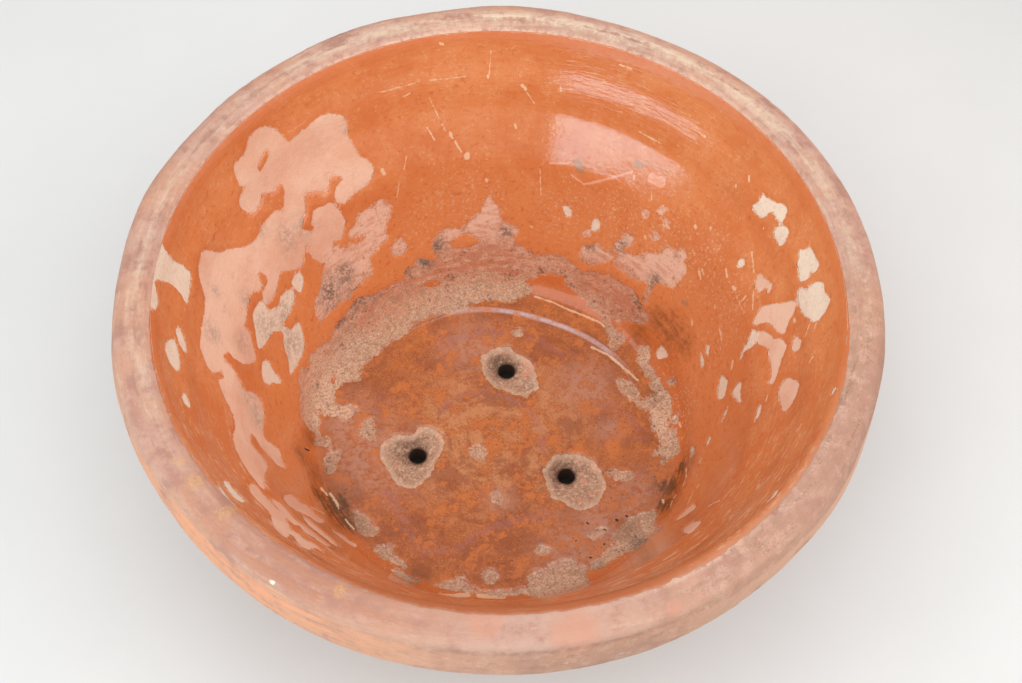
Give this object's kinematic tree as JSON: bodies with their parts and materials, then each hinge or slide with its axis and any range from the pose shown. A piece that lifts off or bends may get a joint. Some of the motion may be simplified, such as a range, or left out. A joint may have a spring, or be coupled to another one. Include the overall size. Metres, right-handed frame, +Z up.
{
  "type": "terracotta bowl",
  "caption": "Flared terracotta mixing bowl with a heavy rolled rim, a worn orange glaze inside and drilled drain holes in its flat floor, for use as a planter.",
  "frame": {"origin": "centre of the flat underside, on the bowl's axis", "axes": "+Z up along the bowl's axis; -Y towards the viewer of the picture, +X to the viewer's right"},
  "size_m": [0.325, 0.325, 0.132],
  "materials": {
    "terracotta": "unglazed fired clay, matt and worn",
    "glaze": "glossy orange lead glaze, flaked and scratched"
  },
  "bodies": {
    "root": {"base_slab": "terracotta", "thrown_wall": "terracotta", "rolled_rim": "terracotta", "wall_glaze": "glaze", "floor_glaze": "glaze"}
  },
  "joints": []
}
